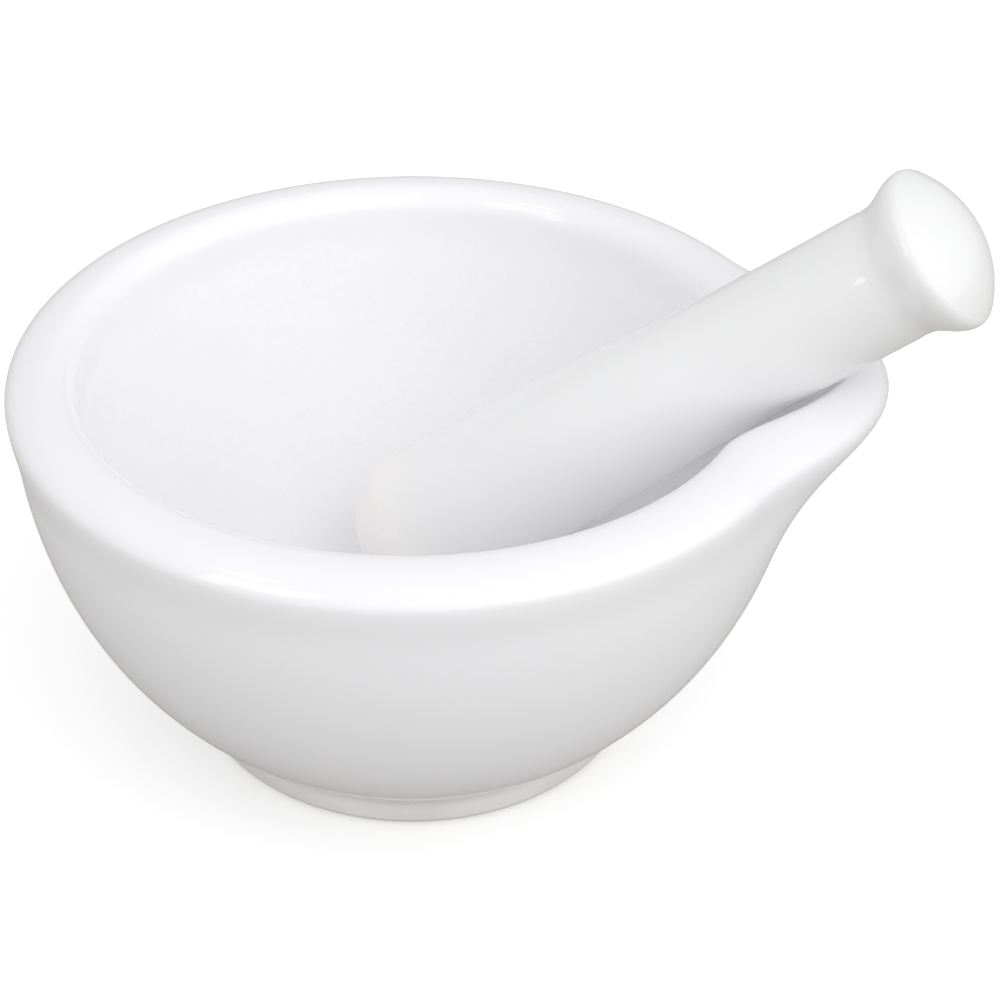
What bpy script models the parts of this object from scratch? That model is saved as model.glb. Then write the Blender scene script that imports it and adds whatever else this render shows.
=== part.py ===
"""A porcelain laboratory mortar with a pouring spout, and the pestle that rests in it.

Two pieces of fired porcelain.  The mortar is one thick bowl on a low foot, its rim
pulled out into a spout at +X.  The pestle leans on the rim beside the spout with its
ball head on the bowl's inner wall.  Metres, +Z up, origin at the centre of the foot's
flat underside.
"""

from math import asin, cos, pi, radians, sin

import bmesh
import bpy
import numpy as np
from mathutils import Matrix, Vector

# Mortar: overall sizes
RIM_RADIUS = 0.0500
MORTAR_HEIGHT = 0.0526
FOOT_RADIUS = 0.0292
FOOT_HEIGHT = 0.0034

# Mortar: lip, wall and floor
LIP_THICKNESS = 0.0085
LIP_CREST_INSET = 0.0056
LIP_ROUND_HEIGHT = 0.0032
LIP_OVERHANG = 0.0006
LIP_BAND_HEIGHT = 0.0075
WALL_SQUARENESS = 2.12
FOOT_FLARE = 0.0011
WALL_FOOT_RADIUS = FOOT_RADIUS - FOOT_FLARE
BOWL_SQUARENESS = 2.15
FLOOR_THICKNESS = 0.0078
FOOT_EDGE_ROUND = 0.0008

# Spout: how far it reaches past the round rim, how wide it opens and how far down it runs
SPOUT_REACH_OUTSIDE = 0.0092
SPOUT_REACH_INSIDE = 0.0112
SPOUT_HALF_ANGLE_OUTSIDE = radians(34.0)
SPOUT_HALF_ANGLE_INSIDE = radians(26.5)
SPOUT_DEPTH_OUTSIDE = 0.0190
SPOUT_DEPTH_INSIDE = 0.0200
FADE_POWER = 3.0

# Pestle
PESTLE_LENGTH = 0.0963
HEAD_RADIUS = 0.0107
SHAFT_RADIUS = 0.0086
NECK_RADIUS = 0.0083
KNOB_RADIUS = 0.0102
KNOB_FLARE_LENGTH = 0.0055
KNOB_EDGE_ROUND = 0.0016
KNOB_FACE_CURVE_RADIUS = 0.0145

# How the pestle rests: where its head meets the bowl, seen from the bowl's centre, and
# the way its handle points
HEAD_CONTACT_AZIMUTH = radians(76.0)
HEAD_CONTACT_FROM_BOTTOM = radians(18.0)
HANDLE_AZIMUTH = radians(-16.0)
STEEPEST_LEAN = radians(85.0)
SHALLOWEST_LEAN = radians(5.0)
REST_GAP = 0.0003

# Facets
RING_SEGMENTS = 80
PESTLE_SEGMENTS = 48
SAMPLES_PER_FACET = 4
BISECTION_STEPS = 40

PORCELAIN = (0.90, 0.90, 0.89)
PESTLE_PORCELAIN = (0.88, 0.88, 0.86)


def clear_scene():
    for obj in list(bpy.data.objects):
        bpy.data.objects.remove(obj)


def make_material(name, colour, roughness):
    material = bpy.data.materials.new(name)
    material.use_nodes = True
    shader = material.node_tree.nodes["Principled BSDF"]
    shader.inputs["Base Color"].default_value = (*colour, 1.0)
    shader.inputs["Roughness"].default_value = roughness
    shader.inputs["Metallic"].default_value = 0.0
    return material


def superellipse(across, squareness):
    """Height of a unit superellipse quarter above its centre, at a distance across it."""
    return (1.0 - across**squareness) ** (1.0 / squareness)


def fade(depth, reach):
    """1 at the rim, easing to 0 where the depth below it is the reach."""
    x = min(max(depth / reach, 0.0), 1.0)
    return (1.0 - x) ** FADE_POWER * (1.0 + FADE_POWER * x)


def mix(first, second, share):
    return first + (second - first) * share


def outer_wall_radius(z):
    """Radius of the plain outer wall under the lip band."""
    top_radius = RIM_RADIUS - LIP_OVERHANG
    centre = MORTAR_HEIGHT - LIP_ROUND_HEIGHT
    share = (WALL_FOOT_RADIUS / top_radius) ** WALL_SQUARENESS
    drop = (centre - FOOT_HEIGHT) / (1.0 - share) ** (1.0 / WALL_SQUARENESS)
    return top_radius * superellipse((centre - z) / drop, WALL_SQUARENESS)


def lip_band(z):
    """How much of the lip's overhang is left at this height."""
    return LIP_OVERHANG * fade(MORTAR_HEIGHT - LIP_ROUND_HEIGHT - z, LIP_BAND_HEIGHT)


def mortar_profile():
    """The section from the foot's edge, up outside, over the lip and down to the floor.

    Each point is (radius, height, how far the spout pulls it out, half of the spout's angle).
    """
    points = []
    edge_r = FOOT_RADIUS - FOOT_EDGE_ROUND
    for angle in np.linspace(-pi / 2, 0.0, 4):
        r = edge_r + FOOT_EDGE_ROUND * cos(angle)
        z = FOOT_EDGE_ROUND + FOOT_EDGE_ROUND * sin(angle)
        points.append((r, z, 0.0, SPOUT_HALF_ANGLE_OUTSIDE))
    lip_z = MORTAR_HEIGHT - LIP_ROUND_HEIGHT
    for z in np.linspace(FOOT_HEIGHT, lip_z, 16)[:-1]:
        spout = SPOUT_REACH_OUTSIDE * fade(lip_z - z, SPOUT_DEPTH_OUTSIDE)
        points.append((outer_wall_radius(z) + lip_band(z), z, spout, SPOUT_HALF_ANGLE_OUTSIDE))
    crest = RIM_RADIUS - LIP_CREST_INSET
    for angle in np.linspace(0.0, pi, 13):
        across = cos(angle)
        side = LIP_CREST_INSET if across > 0.0 else LIP_THICKNESS - LIP_CREST_INSET
        r = crest + side * across
        z = lip_z + LIP_ROUND_HEIGHT * sin(angle)
        inward = (1.0 - across) / 2
        spout = mix(SPOUT_REACH_OUTSIDE, SPOUT_REACH_INSIDE, inward)
        opening = mix(SPOUT_HALF_ANGLE_OUTSIDE, SPOUT_HALF_ANGLE_INSIDE, inward)
        points.append((r, z, spout, opening))
    bowl_radius = RIM_RADIUS - LIP_THICKNESS
    bowl_depth = lip_z - FLOOR_THICKNESS
    for angle in np.linspace(0.0, pi / 2, 18)[1:-1]:
        r = bowl_radius * cos(angle) ** (2 / BOWL_SQUARENESS)
        depth = bowl_depth * sin(angle) ** (2 / BOWL_SQUARENESS)
        spout = SPOUT_REACH_INSIDE * fade(depth, SPOUT_DEPTH_INSIDE)
        points.append((r, lip_z - depth, spout, SPOUT_HALF_ANGLE_INSIDE))
    return points


def spout_share(azimuth, half_angle):
    """1 in the middle of the spout, easing to 0 at both of its sides."""
    away = abs((azimuth + pi) % (2 * pi) - pi)
    return 0.5 + 0.5 * cos(pi * away / half_angle) if away < half_angle else 0.0


def mortar_rings():
    """The mortar's skin as rings of points: ring, place round the ring, xyz."""
    azimuths = [2 * pi * i / RING_SEGMENTS for i in range(RING_SEGMENTS)]
    rings = []
    for r, z, spout, half_angle in mortar_profile():
        reach = [r + spout * spout_share(a, half_angle) for a in azimuths]
        rings.append([(q * cos(a), q * sin(a), z) for q, a in zip(reach, azimuths)])
    return np.array(rings)


def build_mortar(collection, rings):
    """Skin the rings, with one flat face under the foot and a fan at the bowl's floor."""
    mesh = bpy.data.meshes.new("mortar")
    skin = bmesh.new()
    loops = [[skin.verts.new(p) for p in ring] for ring in rings]
    for lower, upper in zip(loops, loops[1:]):
        for i in range(RING_SEGMENTS):
            j = (i + 1) % RING_SEGMENTS
            skin.faces.new((lower[i], lower[j], upper[j], upper[i])).smooth = True
    skin.faces.new(list(reversed(loops[0])))
    floor = skin.verts.new((0.0, 0.0, FLOOR_THICKNESS))
    for i in range(RING_SEGMENTS):
        j = (i + 1) % RING_SEGMENTS
        skin.faces.new((loops[-1][i], loops[-1][j], floor)).smooth = True
    skin.normal_update()
    skin.to_mesh(mesh)
    skin.free()
    mesh.materials.append(make_material("mortar_porcelain", PORCELAIN, 0.22))
    mortar = bpy.data.objects.new("mortar", mesh)
    collection.objects.link(mortar)
    return mortar


def pestle_profile():
    """(radius, distance from the head's centre along the pestle), from the knob's face down."""
    face_centre = PESTLE_LENGTH - HEAD_RADIUS - KNOB_FACE_CURVE_RADIUS
    edge_radius = KNOB_RADIUS - KNOB_EDGE_ROUND
    reach = KNOB_FACE_CURVE_RADIUS - KNOB_EDGE_ROUND
    face_end = asin(edge_radius / reach)
    edge_along = face_centre + reach * cos(face_end)
    points = []
    for angle in np.linspace(0.0, face_end, 5)[:-1]:
        r = KNOB_FACE_CURVE_RADIUS * sin(angle)
        points.append((r, face_centre + KNOB_FACE_CURVE_RADIUS * cos(angle)))
    for angle in np.linspace(face_end, pi / 2, 5):
        r = edge_radius + KNOB_EDGE_ROUND * sin(angle)
        points.append((r, edge_along + KNOB_EDGE_ROUND * cos(angle)))
    neck_along = edge_along - KNOB_FLARE_LENGTH
    for share in np.linspace(0.0, 1.0, 8)[1:]:
        flare = 0.5 + 0.5 * cos(pi * share)
        r = NECK_RADIUS + (KNOB_RADIUS - NECK_RADIUS) * flare
        points.append((r, edge_along - KNOB_FLARE_LENGTH * share))
    for share in np.linspace(0.0, 1.0, 13)[1:-1]:
        slim = NECK_RADIUS + (SHAFT_RADIUS - NECK_RADIUS) * share
        swell = (HEAD_RADIUS - SHAFT_RADIUS) * share**3 * (4.0 - 3.0 * share)
        points.append((slim + swell, neck_along * (1.0 - share)))
    for angle in np.linspace(0.0, pi / 2, 11):
        points.append((HEAD_RADIUS * cos(angle), -HEAD_RADIUS * sin(angle)))
    return points


def build_pestle(collection, pose):
    """Turn the pestle's section about its own axis and set it down in its rest pose."""
    mesh = bpy.data.meshes.new("pestle_section")
    section = bmesh.new()
    verts = [section.verts.new((r, 0.0, along)) for r, along in pestle_profile()]
    for upper, lower in zip(verts, verts[1:]):
        section.edges.new((upper, lower))
    section.to_mesh(mesh)
    section.free()
    mesh.materials.append(make_material("pestle_porcelain", PESTLE_PORCELAIN, 0.32))
    pestle = bpy.data.objects.new("pestle", mesh)
    collection.objects.link(pestle)
    turn = pestle.modifiers.new("turn", "SCREW")
    turn.axis = "Z"
    turn.angle = 2 * pi
    turn.screw_offset = 0.0
    turn.steps = PESTLE_SEGMENTS
    turn.render_steps = PESTLE_SEGMENTS
    turn.use_merge_vertices = True
    turn.merge_threshold = 0.00001
    turn.use_smooth_shade = True
    pestle.matrix_world = pose
    return pestle


def skin_samples(rings):
    """Points all over the mortar's facets, several to a facet each way."""
    shares = [i / SAMPLES_PER_FACET for i in range(SAMPLES_PER_FACET)]
    up = np.concatenate([rings[:-1] * (1 - s) + rings[1:] * s for s in shares])
    following = np.roll(up, -1, axis=1)
    return np.concatenate([up * (1 - s) + following * s for s in shares]).reshape(-1, 3)


def bisect(fits, clear, blocked):
    """The value nearest to blocked at which the piece still fits."""
    for _ in range(BISECTION_STEPS):
        middle = (clear + blocked) / 2
        if fits(middle):
            clear = middle
        else:
            blocked = middle
    return clear


def rest_pose(rings):
    """Where the pestle lies: its head REST_GAP off the bowl, its shaft REST_GAP off the rim."""
    skin = skin_samples(rings)
    bowl_centre = np.array([0.0, 0.0, MORTAR_HEIGHT - LIP_ROUND_HEIGHT])
    sideways = sin(HEAD_CONTACT_FROM_BOTTOM)
    towards = np.array(
        [
            sideways * cos(HEAD_CONTACT_AZIMUTH),
            sideways * sin(HEAD_CONTACT_AZIMUTH),
            -cos(HEAD_CONTACT_FROM_BOTTOM),
        ]
    )

    def head_fits(distance):
        gaps = np.linalg.norm(skin - (bowl_centre + towards * distance), axis=1)
        return gaps.min() >= HEAD_RADIUS + REST_GAP

    head = bowl_centre + towards * bisect(head_fits, 0.0, MORTAR_HEIGHT)
    outline = np.array(pestle_profile())[::-1]
    from_head = skin - head

    def shaft_fits(lean):
        axis = axis_of(lean)
        along = from_head @ axis
        off_axis = np.linalg.norm(from_head - np.outer(along, axis), axis=1)
        radius = np.interp(along, outline[:, 1], outline[:, 0])
        beside = (along > 0.0) & (along < outline[-1, 1])
        return (off_axis - radius)[beside].min(initial=1.0) >= REST_GAP

    axis = Vector(axis_of(bisect(shaft_fits, STEEPEST_LEAN, SHALLOWEST_LEAN)))
    turned = axis.to_track_quat("Z", "Y").to_matrix().to_4x4()
    return Matrix.Translation(Vector(head)) @ turned


def axis_of(lean):
    """Unit vector up the pestle, from its head to its knob, at a lean above the horizontal."""
    level = cos(lean)
    return np.array([level * cos(HANDLE_AZIMUTH), level * sin(HANDLE_AZIMUTH), sin(lean)])


def main():
    clear_scene()
    collection = bpy.data.collections.new("mortar_and_pestle")
    bpy.context.scene.collection.children.link(collection)
    rings = mortar_rings()
    build_mortar(collection, rings)
    build_pestle(collection, rest_pose(rings))


main()
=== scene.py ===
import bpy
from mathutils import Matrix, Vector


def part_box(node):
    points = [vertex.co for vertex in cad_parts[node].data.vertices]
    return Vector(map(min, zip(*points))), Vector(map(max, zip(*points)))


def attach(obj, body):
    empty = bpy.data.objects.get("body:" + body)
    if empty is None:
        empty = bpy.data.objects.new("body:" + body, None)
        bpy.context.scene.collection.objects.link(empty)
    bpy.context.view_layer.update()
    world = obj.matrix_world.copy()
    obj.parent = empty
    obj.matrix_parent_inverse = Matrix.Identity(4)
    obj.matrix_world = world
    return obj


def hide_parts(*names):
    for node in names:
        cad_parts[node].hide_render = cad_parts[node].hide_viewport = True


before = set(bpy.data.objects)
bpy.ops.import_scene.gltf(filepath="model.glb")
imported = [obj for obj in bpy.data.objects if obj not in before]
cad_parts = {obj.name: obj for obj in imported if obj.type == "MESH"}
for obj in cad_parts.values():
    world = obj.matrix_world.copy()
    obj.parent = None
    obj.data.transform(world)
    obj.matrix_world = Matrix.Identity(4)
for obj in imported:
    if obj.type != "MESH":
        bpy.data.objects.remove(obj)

"""Porcelain mortar and pestle: glazed and bare porcelain over the CAD frame.

Both pieces are turned again much finer than the frame's own facets, from the same
sizes. They carry a clear glaze, and are bare inside the bowl, under the foot and on
the pestle's grinding head.
"""

from math import asin, cos, pi, radians, sin

import bmesh
import bpy
import numpy as np
from mathutils import Euler, Matrix, Vector

MM = 0.001
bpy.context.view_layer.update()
TURNED_PLACE = "turned_place"

# ---------------------------------------------------------------- mortar sizes
MORTAR_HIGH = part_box("mortar")[1]
RIM_RADIUS = MORTAR_HIGH[1]
MORTAR_HEIGHT = MORTAR_HIGH[2]
SPOUT_REACH_OUTSIDE = MORTAR_HIGH[0] - RIM_RADIUS
SPOUT_REACH_INSIDE = 11.2 * MM
SPOUT_HALF_ANGLE_OUTSIDE = radians(34.0)
SPOUT_HALF_ANGLE_INSIDE = radians(26.5)
SPOUT_DEPTH_OUTSIDE = 19.0 * MM
SPOUT_DEPTH_INSIDE = 20.0 * MM
FADE_POWER = 3.0
FOOT_RADIUS = 29.2 * MM
FOOT_HEIGHT = 3.4 * MM
FOOT_FLARE = 1.1 * MM
FOOT_EDGE_ROUND = 0.8 * MM
FOOT_JOIN_REACH = 1.6 * MM
LIP_THICKNESS = 8.5 * MM
LIP_CREST_INSET = 5.6 * MM
LIP_ROUND_HEIGHT = 3.2 * MM
LIP_OVERHANG = 0.6 * MM
LIP_BAND_HEIGHT = 7.5 * MM
WALL_SQUARENESS = 2.12
BOWL_SQUARENESS = 2.15
FLOOR_THICKNESS = 7.8 * MM
LIP_Z = MORTAR_HEIGHT - LIP_ROUND_HEIGHT
GRINDING_DEPTHS = (0.5 * MM, 6.0 * MM)
BOWL_DEPTH = "depth_in_bowl"
MORTAR_SEGMENTS = 240

# ---------------------------------------------------------------- pestle sizes
HEAD_RADIUS = 10.7 * MM
SHAFT_RADIUS = 8.6 * MM
NECK_RADIUS = 8.3 * MM
KNOB_RADIUS = 10.2 * MM
KNOB_FLARE_LENGTH = 5.5 * MM
KNOB_EDGE_ROUND = 1.6 * MM
KNOB_FACE_CURVE_RADIUS = 14.5 * MM
CREASE_DEPTH = 0.10 * MM
CREASE_HALF_WIDTH = 0.8 * MM
PESTLE_SEGMENTS = 144
BARE_HEAD_LENGTH = 14.0 * MM
GLAZE_FADE_LENGTH = 8.0 * MM

# ---------------------------------------------------------------- porcelain colours
COOL_GLAZE = ((0.919, 0.914, 0.943), (0.895, 0.893, 0.932))
PLAIN_GLAZE = ((0.890, 0.893, 0.900), (0.862, 0.868, 0.880))
COOL_BARE = ((0.950, 0.944, 0.965), (0.865, 0.86, 0.875))
WARM_BARE = ((0.955, 0.94, 0.918), (0.90, 0.885, 0.86))
SPECK = (0.42, 0.36, 0.29)
GRAIN_SHADE = (0.55, 0.52, 0.47)
# soil and painted shade low on the mortar's outside; grey residue on the pestle's tip
SOIL_AND_PAINTED_SHADE = (0.62, 0.60, 0.56)
SOIL_AND_SHADE_SHARE = 0.75

# ---------------------------------------------------------------- camera
CAMERA_PLACE = Vector((0.0128, -0.2442, 0.2002))
CAMERA_TURN = Euler((radians(55.10), radians(-0.69), radians(0.865)))
CAMERA_LENS_MM = 82.8

# ---------------------------------------------------------------- studio
ROOM_STRENGTH = 0.69
WINDOW_SIDE = (0.70, -0.70, 0.05)
WINDOW_FOCUS = 2.5
WINDOW_STRENGTH = 1.25
BACKDROP_STRENGTH = 1.2
SOFTBOX_DISTANCE = 0.70
FLOOR_REACH = 3.0
FLOOR_BOUNCE = (0.39, 0.38, 0.36)
FLOOR_SHOWN = (1.0, 1.0, 1.0)
FLOOR_GLOW = 0.25
FLOOR_MIRRORED = 0.22


# ================================================================ mesh helpers
def superellipse(across, squareness):
    """Height of a unit superellipse quarter above its centre, at a distance across it."""
    return max(0.0, 1.0 - across**squareness) ** (1.0 / squareness)


def fade(depth, reach):
    """1 at the rim, easing to 0 where the depth below it is the reach."""
    x = min(max(depth / reach, 0.0), 1.0)
    return (1.0 - x) ** FADE_POWER * (1.0 + FADE_POWER * x)


def mix(first, second, share):
    return first + (second - first) * share


def skin_of_rings(name, rings, first_pole, last_pole):
    """A closed smooth mesh through rings of points, capped by a fan at either end.

    Each point keeps the place it was turned at, for the finish to be laid out on.
    """
    mesh = bpy.data.meshes.new(name)
    skin = bmesh.new()
    loops = [[skin.verts.new(p) for p in ring] for ring in rings]
    count = len(loops[0])
    for lower, upper in zip(loops, loops[1:]):
        for i in range(count):
            j = (i + 1) % count
            skin.faces.new((lower[i], lower[j], upper[j], upper[i])).smooth = True
    first, last = skin.verts.new(first_pole), skin.verts.new(last_pole)
    for i in range(count):
        j = (i + 1) % count
        skin.faces.new((loops[0][j], loops[0][i], first)).smooth = True
        skin.faces.new((loops[-1][i], loops[-1][j], last)).smooth = True
    skin.normal_update()
    skin.to_mesh(mesh)
    skin.free()
    kept = mesh.attributes.new(TURNED_PLACE, "FLOAT_VECTOR", "POINT")
    kept.data.foreach_set("vector", [c for vertex in mesh.vertices for c in vertex.co])
    piece = bpy.data.objects.new(name, mesh)
    bpy.context.scene.collection.objects.link(piece)
    return piece


# ================================================================ mortar
def outer_wall_radius(z):
    """Radius of the plain outer wall under the lip band."""
    top_radius = RIM_RADIUS - LIP_OVERHANG
    share = ((FOOT_RADIUS - FOOT_FLARE) / top_radius) ** WALL_SQUARENESS
    drop = (LIP_Z - FOOT_HEIGHT) / (1.0 - share) ** (1.0 / WALL_SQUARENESS)
    return top_radius * superellipse((LIP_Z - z) / drop, WALL_SQUARENESS)


def mortar_outline():
    """The section from the foot to the bowl's floor, as rings to be skinned.

    Each ring is (radius, height, spout's pull, half the spout's angle, depth into the bowl).
    """
    rings = []
    wide, narrow = SPOUT_HALF_ANGLE_OUTSIDE, SPOUT_HALF_ANGLE_INSIDE
    edge_r = FOOT_RADIUS - FOOT_EDGE_ROUND
    for share in (0.15, 0.4, 0.65, 0.85, 0.95):
        rings.append((edge_r * share, 0.0, 0.0, wide, 0.0))
    for angle in np.linspace(-pi / 2, 0.0, 9):
        z = FOOT_EDGE_ROUND + FOOT_EDGE_ROUND * sin(angle)
        rings.append((edge_r + FOOT_EDGE_ROUND * cos(angle), z, 0.0, wide, 0.0))
    below = np.array((FOOT_RADIUS, FOOT_EDGE_ROUND))
    corner = np.array((outer_wall_radius(FOOT_HEIGHT), FOOT_HEIGHT))
    join_top = FOOT_HEIGHT + FOOT_JOIN_REACH
    above = np.array((outer_wall_radius(join_top), join_top))
    start = corner + (below - corner) * FOOT_JOIN_REACH / np.linalg.norm(below - corner)
    for t in np.linspace(0.0, 1.0, 12)[:-1]:
        r, z = (1 - t) ** 2 * start + 2 * t * (1 - t) * corner + t**2 * above
        rings.append((r, z, 0.0, wide, 0.0))
    for z in np.linspace(join_top, LIP_Z, 64)[:-1]:
        overhang = LIP_OVERHANG * fade(LIP_Z - z, LIP_BAND_HEIGHT)
        spout = SPOUT_REACH_OUTSIDE * fade(LIP_Z - z, SPOUT_DEPTH_OUTSIDE)
        rings.append((outer_wall_radius(z) + overhang, z, spout, wide, 0.0))
    crest = RIM_RADIUS - LIP_CREST_INSET
    for angle in np.linspace(0.0, pi, 41):
        across = cos(angle)
        side = LIP_CREST_INSET if across > 0.0 else LIP_THICKNESS - LIP_CREST_INSET
        r, z = crest + side * across, LIP_Z + LIP_ROUND_HEIGHT * sin(angle)
        inward = (1.0 - across) / 2
        spout = mix(SPOUT_REACH_OUTSIDE, SPOUT_REACH_INSIDE, inward)
        rings.append((r, z, spout, mix(wide, narrow, inward), 0.0))
    bowl_radius = RIM_RADIUS - LIP_THICKNESS
    bowl_depth = LIP_Z - FLOOR_THICKNESS
    for angle in np.linspace(0.0, pi / 2, 72)[1:-1]:
        r = bowl_radius * cos(angle) ** (2 / BOWL_SQUARENESS)
        depth = bowl_depth * sin(angle) ** (2 / BOWL_SQUARENESS)
        spout = SPOUT_REACH_INSIDE * fade(depth, SPOUT_DEPTH_INSIDE)
        rings.append((r, LIP_Z - depth, spout, narrow, depth))
    return rings


def spout_share(azimuth, half_angle):
    """1 in the middle of the spout, easing to 0 at both of its sides."""
    away = abs((azimuth + pi) % (2 * pi) - pi)
    return 0.5 + 0.5 * cos(pi * away / half_angle) if away < half_angle else 0.0


def make_mortar(finish):
    """The bowl, with each point's depth below the lip inside it kept for the glaze line."""
    azimuths = [2 * pi * i / MORTAR_SEGMENTS for i in range(MORTAR_SEGMENTS)]
    rings, depths = [], []
    for r, z, spout, half_angle, depth in mortar_outline():
        reach = [r + spout * spout_share(a, half_angle) for a in azimuths]
        rings.append([(q * cos(a), q * sin(a), z) for q, a in zip(reach, azimuths)])
        depths += [depth] * MORTAR_SEGMENTS
    mortar = skin_of_rings("mortar_bowl", rings, (0, 0, 0), (0, 0, FLOOR_THICKNESS))
    depths += [0.0, LIP_Z - FLOOR_THICKNESS]
    kept = mortar.data.attributes.new(BOWL_DEPTH, "FLOAT", "POINT")
    kept.data.foreach_set("value", depths)
    mortar.data.materials.append(finish)
    return mortar


# ================================================================ pestle
def pestle_rest():
    """The pestle's own frame, from its CAD solid: its axis, and the centre of its head."""
    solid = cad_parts["pestle"]
    verts = np.array([solid.matrix_world @ v.co for v in solid.data.vertices])
    middle = verts.mean(axis=0)
    axis = np.linalg.svd(verts - middle, full_matrices=False)[2][0]
    axis = axis if axis[2] > 0 else -axis
    along = (verts - middle) @ axis
    head = middle + axis * (along.min() + HEAD_RADIUS)
    pose = Vector(axis).to_track_quat("Z", "Y").to_matrix().to_4x4()
    return Matrix.Translation(Vector(head)) @ pose, along.max() - along.min()


def pestle_outline(length):
    """(radius, distance from the head's centre), from the knob's face down to the head."""
    face_centre = length - HEAD_RADIUS - KNOB_FACE_CURVE_RADIUS
    edge_radius = KNOB_RADIUS - KNOB_EDGE_ROUND
    reach = KNOB_FACE_CURVE_RADIUS - KNOB_EDGE_ROUND
    face_end = asin(edge_radius / reach)
    edge_along = face_centre + reach * cos(face_end)
    points = []
    for angle in np.linspace(0.0, face_end, 14)[1:-1]:
        r = KNOB_FACE_CURVE_RADIUS * sin(angle)
        points.append((r, face_centre + KNOB_FACE_CURVE_RADIUS * cos(angle)))
    for angle in np.linspace(face_end, pi / 2, 17):
        r = edge_radius + KNOB_EDGE_ROUND * sin(angle)
        points.append((r, edge_along + KNOB_EDGE_ROUND * cos(angle)))
    neck_along = edge_along - KNOB_FLARE_LENGTH
    for share in np.linspace(0.0, 1.0, 25)[1:]:
        flare = 0.5 + 0.5 * cos(pi * share)
        r = NECK_RADIUS + (KNOB_RADIUS - NECK_RADIUS) * flare
        points.append((r, edge_along - KNOB_FLARE_LENGTH * share))
    for share in np.linspace(0.0, 1.0, 121)[1:-1]:
        slim = NECK_RADIUS + (SHAFT_RADIUS - NECK_RADIUS) * share
        swell = (HEAD_RADIUS - SHAFT_RADIUS) * share**3 * (4.0 - 3.0 * share)
        below_neck = neck_along * share
        crease = CREASE_DEPTH * fade(abs(below_neck - CREASE_HALF_WIDTH), CREASE_HALF_WIDTH)
        points.append((slim + swell - crease, neck_along - below_neck))
    for angle in np.linspace(0.0, pi / 2, 41)[:-1]:
        points.append((HEAD_RADIUS * cos(angle), -HEAD_RADIUS * sin(angle)))
    return points


def make_pestle(finish):
    pose, length = pestle_rest()
    turns = [2 * pi * i / PESTLE_SEGMENTS for i in range(PESTLE_SEGMENTS)]
    outline = list(reversed(pestle_outline(length)))
    rings = [[(r * cos(a), r * sin(a), along) for a in turns] for r, along in outline]
    pestle = skin_of_rings("pestle_body", rings, (0, 0, -HEAD_RADIUS), (0, 0, length - HEAD_RADIUS))
    pestle.data.transform(pose)
    pestle.data.materials.append(finish)
    return pestle


# ================================================================ finishes
def node(tree, kind, settings=None, **values):
    """A shader node with some attributes and some input values set."""
    made = tree.nodes.new(kind)
    for key, value in (settings or {}).items():
        setattr(made, key, value)
    for key, value in values.items():
        made.inputs[key.replace("_", " ")].default_value = value
    return made


def noise(tree, coords, scale, detail=3.0, roughness=0.5):
    made = node(tree, "ShaderNodeTexNoise", Scale=scale, Detail=detail, Roughness=roughness)
    tree.links.new(coords, made.inputs["Vector"])
    return made.outputs["Fac"]


def spread(tree, value, low, high, to_low=0.0, to_high=1.0, smooth=False):
    """Map a value's low..high onto to_low..to_high, held at both ends."""
    kind = "SMOOTHSTEP" if smooth else "LINEAR"
    made = node(tree, "ShaderNodeMapRange", {"interpolation_type": kind})
    made.inputs["From Min"].default_value = low
    made.inputs["From Max"].default_value = high
    made.inputs["To Min"].default_value = to_low
    made.inputs["To Max"].default_value = to_high
    tree.links.new(value, made.inputs["Value"])
    return made.outputs["Result"]


def arithmetic(tree, operation, first, second):
    made = node(tree, "ShaderNodeMath", {"operation": operation})
    for socket, value in zip(made.inputs, (first, second)):
        if isinstance(value, (int, float)):
            socket.default_value = value
        else:
            tree.links.new(value, socket)
    return made.outputs["Value"]


def blend_colours(tree, share, first, second):
    made = node(tree, "ShaderNodeMix", {"data_type": "RGBA"})
    for place, value in ((0, share), (6, first), (7, second)):
        socket = made.inputs[place]
        if isinstance(value, tuple):
            socket.default_value = (*value, 1.0)
        else:
            tree.links.new(value, socket)
    return made.outputs[2]


def new_group(name, inputs, outputs):
    group = bpy.data.node_groups.new(name, "ShaderNodeTree")
    for label, kind, value in inputs:
        socket = group.interface.new_socket(label, in_out="INPUT", socket_type=kind)
        if value is not None:
            socket.default_value = value
    for label, kind in outputs:
        group.interface.new_socket(label, in_out="OUTPUT", socket_type=kind)
    start = group.nodes.new("NodeGroupInput")
    end = group.nodes.new("NodeGroupOutput")
    return group, start, end


FINISH_OUTPUTS = [
    ("Color", "NodeSocketColor"),
    ("Roughness", "NodeSocketFloat"),
    ("Height", "NodeSocketFloat"),
]


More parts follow.
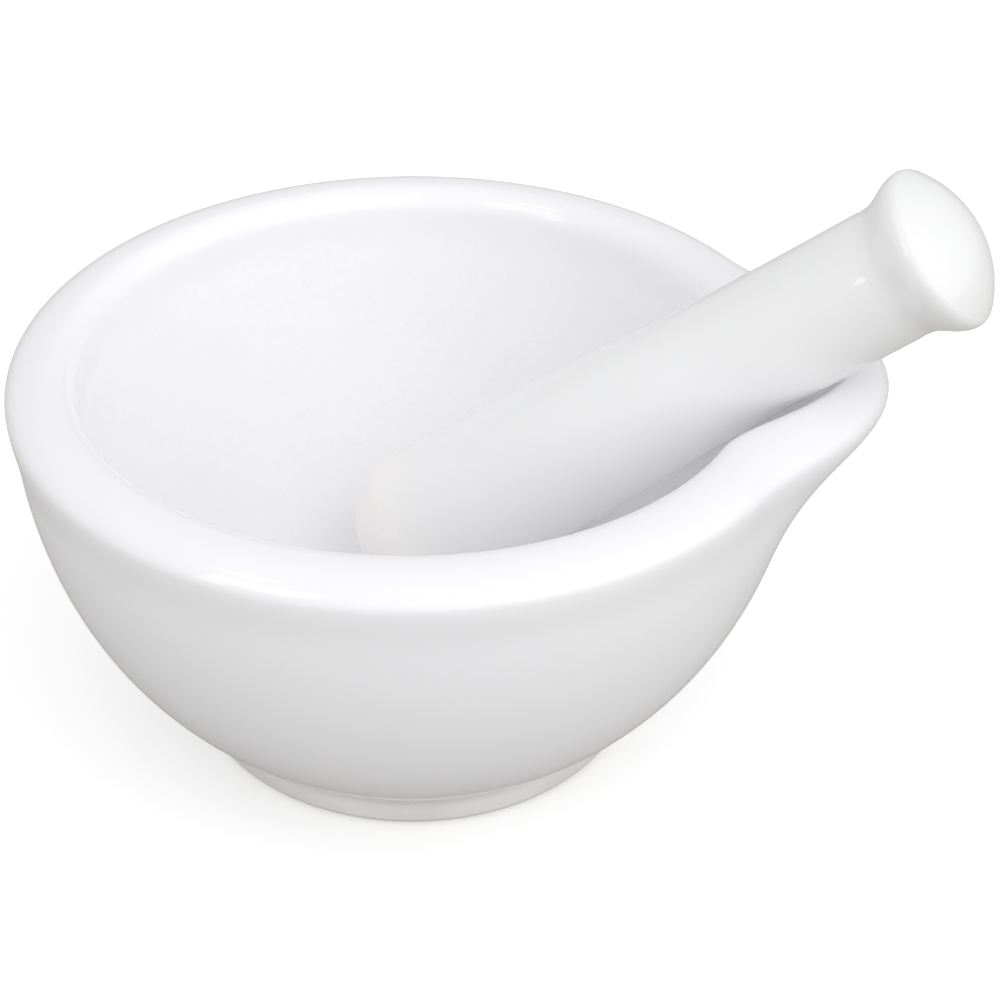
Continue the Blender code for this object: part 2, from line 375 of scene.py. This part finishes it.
def clear_glaze_group():
    """The body as it shows through fired glaze: cool pooling, iron specks and a soft ripple.

    The gloss itself is the material's coat.
    """
    group, start, end = new_group(
        "clear_glaze",
        [
            ("Place", "NodeSocketVector", None),
            ("Body", "NodeSocketColor", (0.9, 0.9, 0.9, 1.0)),
            ("Pooled", "NodeSocketColor", (0.8, 0.82, 0.86, 1.0)),
            ("Pooling", "NodeSocketFloat", 0.2),
            ("Speck Strength", "NodeSocketFloat", 0.5),
        ],
        FINISH_OUTPUTS,
    )
    place = start.outputs["Place"]
    drift = spread(group, noise(group, place, 38.0, 2.0), 0.35, 0.7)
    share = arithmetic(group, "MULTIPLY", drift, start.outputs["Pooling"])
    colour = blend_colours(group, share, start.outputs["Body"], start.outputs["Pooled"])
    cells = node(group, "ShaderNodeTexVoronoi", Scale=210.0)
    group.links.new(place, cells.inputs["Vector"])
    near = spread(group, cells.outputs["Distance"], 0.05, 0.11, 1.0, 0.0, smooth=True)
    rare = spread(group, noise(group, place, 170.0, 0.0), 0.66, 0.70)
    speck = arithmetic(group, "MULTIPLY", near, rare)
    shown = arithmetic(group, "MULTIPLY", speck, start.outputs["Speck Strength"])
    colour = blend_colours(group, shown, colour, SPECK)
    group.links.new(colour, end.inputs["Color"])
    roughness = spread(group, noise(group, place, 55.0, 4.0), 0.3, 0.7, 0.40, 0.48)
    group.links.new(roughness, end.inputs["Roughness"])
    ripple = noise(group, place, 95.0, 2.0)
    peel = noise(group, place, 430.0, 2.0)
    broad = arithmetic(group, "MULTIPLY", ripple, 0.85)
    height = arithmetic(group, "ADD", broad, arithmetic(group, "MULTIPLY", peel, 0.15))
    height = arithmetic(group, "SUBTRACT", height, arithmetic(group, "MULTIPLY", speck, 0.5))
    group.links.new(height, end.inputs["Height"])
    return group


def bare_porcelain_group():
    """Unglazed, lightly ground porcelain: warm, dry and finely grained, greyed where it rubs."""
    group, start, end = new_group(
        "bare_porcelain",
        [
            ("Place", "NodeSocketVector", None),
            ("Body", "NodeSocketColor", (0.85, 0.83, 0.79, 1.0)),
            ("Rubbed", "NodeSocketColor", (0.6, 0.58, 0.55, 1.0)),
            ("Rub", "NodeSocketFloat", 0.3),
        ],
        FINISH_OUTPUTS,
    )
    place = start.outputs["Place"]
    grain = noise(group, place, 1500.0, 3.0, 0.7)
    smudge = spread(group, noise(group, place, 120.0, 5.0, 0.65), 0.45, 0.75)
    share = arithmetic(group, "MULTIPLY", smudge, start.outputs["Rub"])
    colour = blend_colours(group, share, start.outputs["Body"], start.outputs["Rubbed"])
    dark = arithmetic(group, "MULTIPLY", spread(group, grain, 0.35, 0.6, 1.0, 0.0), 0.06)
    colour = blend_colours(group, dark, colour, GRAIN_SHADE)
    group.links.new(colour, end.inputs["Color"])
    group.links.new(spread(group, grain, 0.3, 0.7, 0.62, 0.8), end.inputs["Roughness"])
    group.links.new(grain, end.inputs["Height"])
    return group


def porcelain(name, groups, glaze, bare, masks):
    """A porcelain body under clear glaze, except where the first mask leaves it bare.

    The other two masks say how far the bare surface is rubbed, and where soil, grey residue and
    painted shade darken the whole.
    """
    material = bpy.data.materials.new(name)
    material.use_nodes = True
    tree = material.node_tree
    shader = tree.nodes["Principled BSDF"]
    shader.inputs["IOR"].default_value = 1.5
    shader.inputs["Metallic"].default_value = 0.0
    shader.inputs["Specular IOR Level"].default_value = 0.3
    shader.inputs["Subsurface Weight"].default_value = 0.12
    shader.inputs["Subsurface Radius"].default_value = (1.0, 0.85, 0.7)
    shader.inputs["Subsurface Scale"].default_value = 1.6 * MM
    shader.inputs["Coat Roughness"].default_value = 0.05
    shader.inputs["Coat IOR"].default_value = 1.5
    place = node(tree, "ShaderNodeAttribute", {"attribute_name": TURNED_PLACE}).outputs["Vector"]
    bare_mask, rub, soil_and_shade = masks(tree, place)
    glaze_group, bare_group = groups
    glossy = node(
        tree, "ShaderNodeGroup", {"node_tree": glaze_group}, Pooling=0.5, Speck_Strength=0.15
    )
    dry = node(tree, "ShaderNodeGroup", {"node_tree": bare_group})
    for group, (body, other), second in ((glossy, glaze, "Pooled"), (dry, bare, "Rubbed")):
        tree.links.new(place, group.inputs["Place"])
        group.inputs["Body"].default_value = (*body, 1.0)
        group.inputs[second].default_value = (*other, 1.0)
    tree.links.new(rub, dry.inputs["Rub"])
    colour = blend_colours(tree, bare_mask, glossy.outputs["Color"], dry.outputs["Color"])
    # soil and painted shade darken the mortar's outside towards the foot; on the pestle, grey
    # residue at the tip
    colour = blend_colours(tree, soil_and_shade, colour, SOIL_AND_PAINTED_SHADE)
    tree.links.new(colour, shader.inputs["Base Color"])
    swap = node(tree, "ShaderNodeMix", {"data_type": "FLOAT"})
    tree.links.new(bare_mask, swap.inputs[0])
    tree.links.new(glossy.outputs["Roughness"], swap.inputs[2])
    tree.links.new(dry.outputs["Roughness"], swap.inputs[3])
    tree.links.new(swap.outputs[0], shader.inputs["Roughness"])
    coat = arithmetic(tree, "SUBTRACT", 1.0, bare_mask)
    tree.links.new(coat, shader.inputs["Coat Weight"])
    ripple = node(tree, "ShaderNodeBump", Strength=0.10, Distance=0.2 * MM)
    ripple_height = arithmetic(tree, "MULTIPLY", glossy.outputs["Height"], coat)
    tree.links.new(ripple_height, ripple.inputs["Height"])
    grain = node(tree, "ShaderNodeBump", Strength=0.25, Distance=0.05 * MM)
    grain_height = arithmetic(tree, "MULTIPLY", dry.outputs["Height"], bare_mask)
    tree.links.new(grain_height, grain.inputs["Height"])
    tree.links.new(ripple.outputs["Normal"], grain.inputs["Normal"])
    tree.links.new(grain.outputs["Normal"], shader.inputs["Normal"])
    return material


def height_along(tree, place):
    split = node(tree, "ShaderNodeSeparateXYZ")
    tree.links.new(place, split.inputs["Vector"])
    return split.outputs["Z"]


def mortar_masks(tree, place):
    """Bare inside the bowl and under the foot; rubbed most at the foot, and darkened outside
    towards the foot by soil and painted shade.
    """
    height = height_along(tree, place)
    wander = spread(tree, noise(tree, place, 90.0, 3.0), 0.3, 0.7, -1.0, 1.0)
    foot_line = arithmetic(tree, "ADD", height, arithmetic(tree, "MULTIPLY", wander, 0.15 * MM))
    bare_foot = spread(tree, foot_line, 0.35 * MM, 0.55 * MM, 1.0, 0.0, smooth=True)
    depth = node(tree, "ShaderNodeAttribute", {"attribute_name": BOWL_DEPTH}).outputs["Fac"]
    bowl_line = arithmetic(tree, "ADD", depth, arithmetic(tree, "MULTIPLY", wander, 0.8 * MM))
    bare_bowl = spread(tree, bowl_line, *GRINDING_DEPTHS, 0.0, 1.0, smooth=True)
    bare = arithmetic(tree, "MAXIMUM", bare_foot, bare_bowl)
    rub = arithmetic(tree, "ADD", arithmetic(tree, "MULTIPLY", bare_foot, 0.6), 0.15)
    # painted shade mixed with soil: the outside wall darker towards the foot, in patches
    near_foot = spread(tree, height, 0.5 * MM, 9.0 * MM, 1.0, 0.0, smooth=True)
    outside = spread(tree, depth, 0.0, 1.0 * MM, 1.0, 0.0)
    patchy = spread(tree, noise(tree, place, 60.0, 4.0), 0.3, 0.7, 0.6, 1.0)
    soil_and_shade = arithmetic(tree, "MULTIPLY", arithmetic(tree, "MULTIPLY", near_foot, outside), patchy)
    return bare, rub, arithmetic(tree, "MULTIPLY", soil_and_shade, SOIL_AND_SHADE_SHARE)


def pestle_masks(tree, place):
    """Bare on the grinding head, up to a soft uneven glaze line; rubbed grey at its tip."""
    height = height_along(tree, place)
    wander = spread(tree, noise(tree, place, 70.0, 4.0), 0.3, 0.7, -1.1 * MM, 1.1 * MM)
    along = arithmetic(tree, "ADD", height, wander)
    line = BARE_HEAD_LENGTH - HEAD_RADIUS
    half = GLAZE_FADE_LENGTH / 2
    bare = spread(tree, along, line - half, line + half, 1.0, 0.0, smooth=True)
    rub = spread(tree, along, -HEAD_RADIUS, 0.0, 0.8, 0.15, smooth=True)
    return bare, rub, arithmetic(tree, "MULTIPLY", rub, 0.05)


# ================================================================ studio
def make_floor():
    """A pale sheet that shows brighter than the light it returns, so undersides stay in shade."""
    mesh = bpy.data.meshes.new("floor")
    signs = ((-1, -1), (1, -1), (1, 1), (-1, 1))
    corners = [(FLOOR_REACH * x, FLOOR_REACH * y, 0) for x, y in signs]
    mesh.from_pydata(corners, [], [(0, 1, 2, 3)])
    floor = bpy.data.objects.new("floor", mesh)
    bpy.context.scene.collection.objects.link(floor)
    floor.location.z = -0.2 * MM
    material = bpy.data.materials.new("pale_floor")
    material.use_nodes = True
    tree = material.node_tree
    shader = tree.nodes["Principled BSDF"]
    rays = node(tree, "ShaderNodeLightPath").outputs
    mirrored = arithmetic(tree, "MULTIPLY", rays["Is Glossy Ray"], FLOOR_MIRRORED)
    seen = arithmetic(tree, "MAXIMUM", rays["Is Camera Ray"], mirrored)
    shade = blend_colours(tree, seen, FLOOR_BOUNCE, FLOOR_SHOWN)
    tree.links.new(shade, shader.inputs["Base Color"])
    glow = blend_colours(tree, seen, (0.0, 0.0, 0.0), FLOOR_SHOWN)
    tree.links.new(glow, shader.inputs["Emission Color"])
    shader.inputs["Emission Strength"].default_value = FLOOR_GLOW
    shader.inputs["Roughness"].default_value = 0.9
    shader.inputs["Specular IOR Level"].default_value = 0.0
    mesh.materials.append(material)


def make_softbox(name, azimuth, elevation, side, power):
    """A square lamp at one distance from the bowl and aimed at it.

    Angles are in degrees, the side in metres and the power in watts.
    """
    lamp = bpy.data.lights.new(name, "AREA")
    lamp.shape = "SQUARE"
    lamp.size = side
    lamp.energy = power
    softbox = bpy.data.objects.new(name, lamp)
    around, up = radians(azimuth), radians(elevation)
    outward = Vector((cos(up) * cos(around), cos(up) * sin(around), sin(up)))
    softbox.location = Vector((0.0, 0.0, MORTAR_HEIGHT)) + outward * SOFTBOX_DISTANCE
    softbox.rotation_euler = (-outward).to_track_quat("-Z", "Y").to_euler()
    bpy.context.scene.collection.objects.link(softbox)


def make_surround():
    """An even white room that brightens softly towards the window side.

    The room itself shows as plain white, so it meets the floor without a line.
    """
    world = bpy.data.worlds.new("studio")
    bpy.context.scene.world = world
    world.use_nodes = True
    tree = world.node_tree
    room = tree.nodes["Background"]
    room.inputs["Color"].default_value = (1.0, 1.0, 1.0, 1.0)
    towards = node(tree, "ShaderNodeVectorMath", {"operation": "DOT_PRODUCT"})
    towards.inputs[1].default_value = Vector(WINDOW_SIDE).normalized()
    tree.links.new(node(tree, "ShaderNodeTexCoord").outputs["Generated"], towards.inputs[0])
    facing = arithmetic(tree, "MAXIMUM", towards.outputs["Value"], 0.0)
    window = arithmetic(tree, "POWER", facing, WINDOW_FOCUS)
    window = arithmetic(tree, "MULTIPLY", window, WINDOW_STRENGTH)
    strength = arithmetic(tree, "ADD", ROOM_STRENGTH, window)
    seen = node(tree, "ShaderNodeLightPath").outputs["Is Camera Ray"]
    backdrop = arithmetic(tree, "MULTIPLY", seen, BACKDROP_STRENGTH)
    tree.links.new(arithmetic(tree, "MAXIMUM", strength, backdrop), room.inputs["Strength"])


def make_studio():
    make_surround()
    make_softbox("right_softbox", -42.0, 46.0, 0.26, 0.22)
    make_softbox("left_softbox", -130.0, 35.0, 0.30, 0.50)
    make_softbox("right_window", -25.0, 60.0, 0.12, 0.19)
    make_softbox("left_window", -150.0, 58.0, 0.10, 0.12)
    make_softbox("low_window", -138.0, 14.0, 0.09, 0.09)
    make_floor()


def make_camera():
    data = bpy.data.cameras.new("camera")
    data.lens = CAMERA_LENS_MM
    data.sensor_width = 36.0
    data.clip_start = 0.01
    camera = bpy.data.objects.new("camera", data)
    camera.location = CAMERA_PLACE
    camera.rotation_euler = CAMERA_TURN
    bpy.context.scene.collection.objects.link(camera)
    bpy.context.scene.camera = camera


# ================================================================ everything
make_camera()
make_studio()
bpy.context.scene.view_settings.view_transform = "Standard"
bpy.context.scene.view_settings.gamma = 1.15

groups = (clear_glaze_group(), bare_porcelain_group())
mortar = make_mortar(porcelain("mortar_porcelain", groups, COOL_GLAZE, COOL_BARE, mortar_masks))
pestle = make_pestle(porcelain("pestle_porcelain", groups, PLAIN_GLAZE, WARM_BARE, pestle_masks))
for piece, part in ((mortar, "mortar"), (pestle, "pestle")):
    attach(piece, part)
    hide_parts(part)
